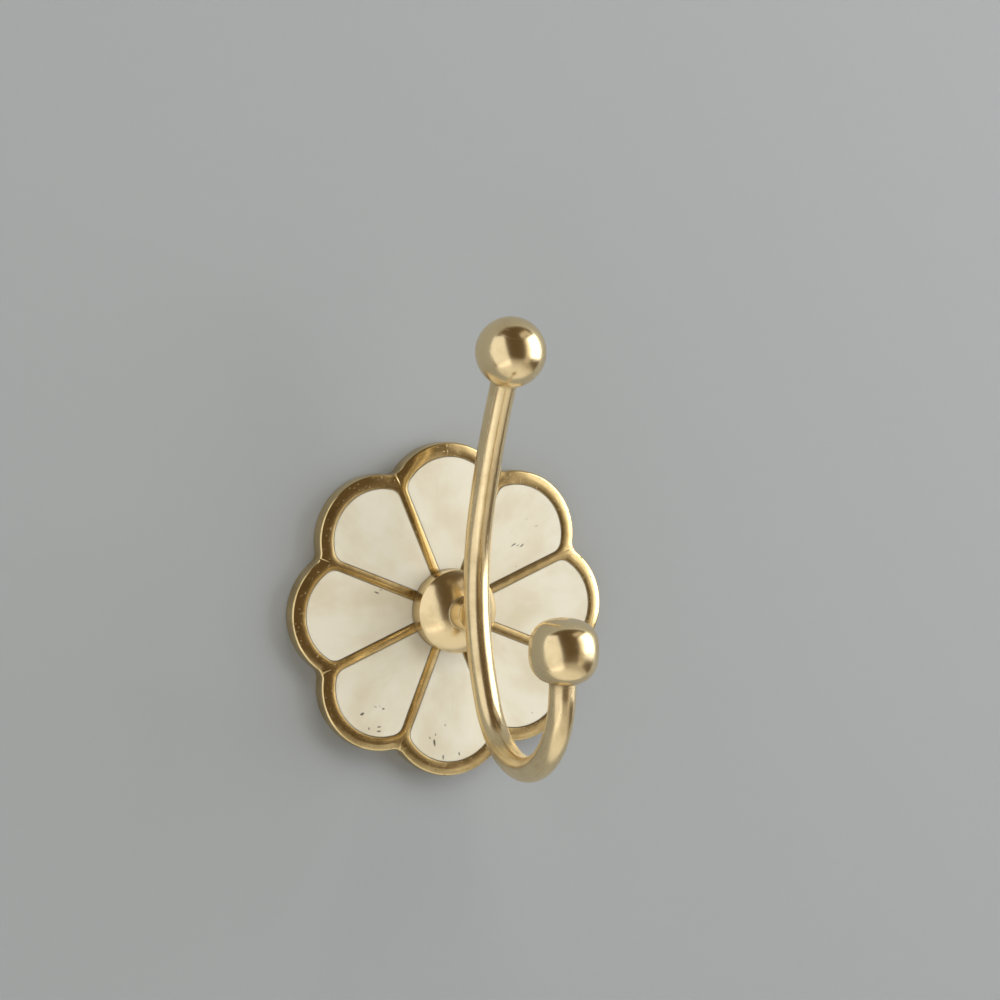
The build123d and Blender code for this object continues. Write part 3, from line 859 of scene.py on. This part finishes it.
class HOOK_OT_screw(bpy.types.Operator):
    """Builds the double-ended screw with its wood thread"""

    bl_idname = "hook.screw"
    bl_label = "Screw"

    def execute(self, context):
        sizes = context.scene.hook_fixings
        around, steps, bevel = 40, 20, 0.6
        pitch, shank = sizes.wood_pitch / MM, sizes.machine_length / MM
        end, taper = sizes.wood_length / MM, sizes.point_length / MM
        machine = sizes.machine_radius / MM
        full, core, tip = sizes.wood_radius / MM, sizes.wood_core / MM, sizes.point_radius / MM
        # Each ring is turned a little further than the last, so that one column is the thread's crest:
        # radius = core + height of the thread at the column's share of a turn, times the taper's envelope
        plain = [-shank, bevel - shank, bevel + 0.05 - shank, -0.2, -0.05]
        level = np.concatenate([plain, np.arange(0, end, pitch / steps), [end]])
        share = np.arange(around) / around
        ridge = np.clip(1 - np.abs(share - 0.5) / 0.16, 0, 1)
        threaded = core + (full - core) * ridge * np.clip(level / pitch, 0, 1)[:, None]
        radius = tip + (threaded - tip) * np.clip((end - level) / taper, 0, 1)[:, None]
        radius[level < 0] = machine
        radius[0] = machine - bevel
        turn = 2 * math.pi * (share + np.clip(level, 0, None)[:, None] / pitch)
        rings = np.stack([radius * np.cos(turn), level[:, None] + 0 * turn, radius * np.sin(turn)], -1)
        points = np.vstack([[0, -shank, 0], rings.reshape(-1, 3), [0, end, 0]])
        faces, clean, steel = ring_faces(len(level), around), np.zeros(len(points)), zinc_plated_steel()
        make_piece("hanger_screw", points, faces, points, clean, steel, ["hanger_bolt"])
        return {"FINISHED"}


class HOOK_OT_nut(bpy.types.Operator):
    """Builds the thin nut in the rosette's recess"""

    bl_idname = "hook.nut"
    bl_label = "Nut"

    def execute(self, context):
        sizes = context.scene.hook_fixings
        flat, thick, bevel = sizes.nut_flats / MM / 2, sizes.nut_thickness / MM, sizes.nut_bevel / MM
        start = context.scene.hook_rosette.recess_depth / MM
        bore, ease = context.scene.hook_turned.tapped_radius / MM, 0.3
        # A hexagon's radius at the turn a from a flat's middle is flat / cos a, and the bevel's cone caps it
        side = np.radians([-30, -29.4, -28.5, -26, -20, -12, -4, 4, 12, 20, 26, 28.5, 29.4])
        turn = (np.arange(6)[:, None] * math.radians(60) + side).ravel()
        step = bevel * np.array([0, 0.35, 0.7, 1])
        inset = np.concatenate([step, [thick / 2], thick - step[::-1]])
        cone = flat / math.cos(math.radians(30)) - bevel + np.minimum(np.minimum(inset, thick - inset), bevel)
        outer = np.minimum(np.tile(flat / np.cos(side), 6), cone[:, None])
        # Rings round the section: the bore's mouth, the outside, and the bore's other mouth
        mouth = np.array([bore, bore + ease])[:, None] + 0 * turn
        radius = np.vstack([mouth, outer, mouth[::-1]])
        level = np.array([ease, 0, *inset, thick, thick - ease])[:, None] - start
        rings = np.stack([radius * np.cos(turn), level + 0 * turn, radius * np.sin(turn)], -1)
        points = np.concatenate([rings, rings[:1]]).reshape(-1, 3)
        faces, clean = band_faces(len(rings) + 1, len(turn)).tolist(), np.zeros(len(points))
        make_piece("thin_nut", points, faces, points, clean, zinc_plated_steel(), ["lock_nut"])
        return {"FINISHED"}


class HOOK_OT_stage(bpy.types.Operator):
    """Sets the plain wall and floor, the soft light and the camera"""

    bl_idname = "hook.stage"
    bl_label = "Stage"

    def execute(self, context):
        scene, colours = context.scene, context.scene.hook_colours

        def sheet(name, corners, faces, material):
            """Flat sheet of the stage."""
            mesh = bpy.data.meshes.new(name)
            mesh.from_pydata(np.asarray(corners, float).tolist(), [], faces)
            mesh.materials.append(material)
            made = bpy.data.objects.new(name, mesh)
            scene.collection.objects.link(made)

        def matt(name, tint, glow=0.0):
            """Matt paint on the front only: from behind, the sheet lets everything through.

            The glow lightens the sheet only where the camera and the brass see it.
            """
            material, tree, shader = new_material(name)
            path = add_node(tree, "LightPath").outputs
            seen = add_node(tree, "Math", MAXIMUM, {0: path["Is Camera Ray"], 1: path["Is Glossy Ray"]})
            lit = add_node(tree, "Math", MULTIPLY, {0: seen, 1: glow})
            fill(tree, shader, {"Base Color": tint, "Roughness": 0.9, "Emission Color": tint})
            fill(tree, shader, {"Emission Strength": lit})
            behind = add_node(tree, "NewGeometry").outputs["Backfacing"]
            clear = add_node(tree, "BsdfTransparent")
            both = add_node(tree, "MixShader", inputs={0: behind, 1: shader, 2: clear})
            fill(tree, tree.nodes["Material Output"], {"Surface": both})
            return material

        def lamp(name, bearing, height, distance, width, tall, strength, tint, tilt=0, dip=0, mirrored=True):
            """Soft box that faces the hook. Its power gives its face the strength, where 1 is white.

            The bearing is in degrees from straight in front, to the right, the tilt in degrees from upright,
            and the dip in degrees down from level. A lamp that isn't mirrored gives light but doesn't show in
            the brass.
            """
            way = Vector((math.sin(math.radians(bearing)), -math.cos(math.radians(bearing)), 0))
            facing = -way * math.cos(math.radians(dip)) - Vector((0, 0, math.sin(math.radians(dip))))
            data = bpy.data.lights.new(name, "AREA")
            data.shape = "RECTANGLE"
            data.size, data.size_y = width, tall
            data.energy = strength * math.pi * width * tall
            data.color = linear(tint)[:3]
            made = bpy.data.objects.new(name, data)
            made.location = way * distance + Vector((0, 0, height))
            made.matrix_world = (
                Matrix.Translation(made.location)
                @ facing.to_track_quat("-Z", "Y").to_matrix().to_4x4()
                @ Matrix.Rotation(math.radians(tilt), 4, "Z")
            )
            made.visible_camera = False
            made.visible_glossy = mirrored
            scene.collection.objects.link(made)

        # The wall is a round sheet with an opening a little smaller than the rosette, which hides it
        opening, wall_radius, off_wall = 0.992, 1.35, 0.00005
        cell = Cell(scene.hook_rosette)
        lobe = np.vstack([cell.edge[::-12] * [1, -1], cell.edge[12::12]]) * opening * MM
        turns = 2 * cell.slope * np.arange(scene.hook_rosette.lobes)
        ways = np.stack([np.cos(turns), np.sin(turns), -np.sin(turns), np.cos(turns)], -1).reshape(-1, 2, 2)
        inner = np.concatenate([lobe @ way for way in ways])
        flat = np.vstack([inner, inner / np.linalg.norm(inner, axis=1)[:, None] * wall_radius])
        count = len(inner)
        quads = [(k, k + count, (k + 1) % count + count, (k + 1) % count) for k in range(count)]
        wall = np.stack([flat[:, 0], np.full(2 * count, off_wall), flat[:, 1]], -1)
        sheet("wall", wall, quads, matt("wall_paint", colours.wall))
        # The floor lies a metre below the hook
        floor = [(-1.3, -2.6, -1), (1.3, -2.6, -1), (1.3, 0, -1), (-1.3, 0, -1)]
        sheet("floor", floor, [(0, 1, 2, 3)], matt("floor_paint", colours.floor, 0.25))

        # The window side, from 43 to 87 degrees round to the right, and the softer light beside and over it
        lamp("right_box", 65, 0.36, 1.2, 0.97, 1.24, 3.6, "#F5F9FF")
        lamp("right_glow", 35, 0.1, 1.25, 0.49, 1.4, 0.4, "#FFF8EC")
        lamp("right_soft", 38, 0.45, 1.26, 0.36, 1.3, 0.75, "#FFFCF6")
        lamp("upper_glow", 45, 1.25, 0.95, 0.9, 0.6, 0.5, "#FFF8EC")
        # The room's pale wall, from 33 to 89 degrees round to the left
        lamp("left_panel", -61, 0.05, 1.05, 1.1, 2.5, 0.96, "#F4F7FB", 18)
        # Even light from above and in front
        lamp("top_fill", 15, 1.4, 1.1, 1.2, 1.2, 3.1, "#FFFAF0", 0, 60, False)

        # A dim warm room in front, and a pale one behind the wall and wherever the camera looks past the stage
        world = bpy.data.worlds.new("soft_room")
        world.use_nodes = True
        tree = world.node_tree
        room = tree.nodes["Background"]
        fill(tree, room, {"Color": linear("#F0CD9C"), "Strength": 0.13})
        pale = add_node(tree, "Background", inputs={"Color": linear("#DCDBD7"), "Strength": 0.9})
        path = add_node(tree, "LightPath").outputs
        way = add_node(tree, "TexCoord").outputs["Generated"]
        ahead = add_node(tree, "SeparateXYZ", inputs={"Vector": way}).outputs["Y"]
        behind = add_node(tree, "Math", {"operation": "GREATER_THAN"}, {0: ahead, 1: 0.0})
        mirrored = add_node(tree, "Math", MULTIPLY, {0: path["Is Glossy Ray"], 1: behind})
        seen = add_node(tree, "Math", MAXIMUM, {0: path["Is Camera Ray"], 1: mirrored})
        both = add_node(tree, "MixShader", inputs={0: seen, 1: room, 2: pale})
        fill(tree, tree.nodes["World Output"], {"Surface": both})
        scene.world = world
        scene.view_settings.view_transform = "Standard"

        # The camera stands left of the hook and a little above it, turned slightly clockwise
        azimuth, elevation, roll = math.radians(-24.16), math.radians(3.6), math.radians(-0.473)
        distance, lens, sensor = 0.65, 98.67, 36.0
        level = math.cos(elevation)
        back = Vector((math.sin(azimuth) * level, -math.cos(azimuth) * level, math.sin(elevation)))
        right = Vector((math.cos(azimuth), math.sin(azimuth), 0))
        up = back.cross(right)
        across = math.cos(roll) * right + math.sin(roll) * up
        upright = -math.sin(roll) * right + math.cos(roll) * up
        data = bpy.data.cameras.new("photo_camera")
        data.sensor_width, data.lens = sensor, lens
        data.clip_start, data.clip_end = 0.01, 20
        camera = bpy.data.objects.new("photo_camera", data)
        target = Vector((13.034, -4.6, 25.504)) * MM
        place = Matrix((across, upright, back)).transposed().to_4x4()
        place.translation = target + back * distance
        camera.matrix_world = place
        scene.collection.objects.link(camera)
        scene.camera = camera
        return {"FINISHED"}


OPERATORS = (
    HOOK_OT_stage,
    HOOK_OT_rosette,
    HOOK_OT_inlays,
    HOOK_OT_boss,
    HOOK_OT_rod,
    HOOK_OT_ball,
    HOOK_OT_bead,
    HOOK_OT_screw,
    HOOK_OT_nut,
)


class HOOK_PT_panel(bpy.types.Panel):
    """Lists the hook's pieces in the sidebar"""

    bl_idname = "HOOK_PT_panel"
    bl_label = "Bath hook"
    bl_space_type = "VIEW_3D"
    bl_region_type = "UI"
    bl_category = "Bath hook"

    def draw(self, context):
        for operator in OPERATORS:
            self.layout.operator(operator.bl_idname)


GROUPS = {
    "hook_rosette": RosetteSizes,
    "hook_turned": TurnedSizes,
    "hook_rod": RodSizes,
    "hook_fixings": FixingSizes,
    "hook_colours": HookColours,
}


def register():
    for group in GROUPS.values():
        bpy.utils.register_class(group)
    for operator in OPERATORS:
        bpy.utils.register_class(operator)
    bpy.utils.register_class(HOOK_PT_panel)
    for name, group in GROUPS.items():
        setattr(bpy.types.Scene, name, PointerProperty(type=group))


def unregister():
    for name in GROUPS:
        delattr(bpy.types.Scene, name)
    bpy.utils.unregister_class(HOOK_PT_panel)
    for made in (*reversed(OPERATORS), *GROUPS.values()):
        bpy.utils.unregister_class(made)


def main():
    register()
    bpy.ops.hook.stage()
    bpy.ops.hook.rosette()
    bpy.ops.hook.inlays()
    bpy.ops.hook.boss()
    bpy.ops.hook.rod()
    bpy.ops.hook.ball()
    bpy.ops.hook.bead()
    bpy.ops.hook.screw()
    bpy.ops.hook.nut()


if __name__ == "__main__":
    main()
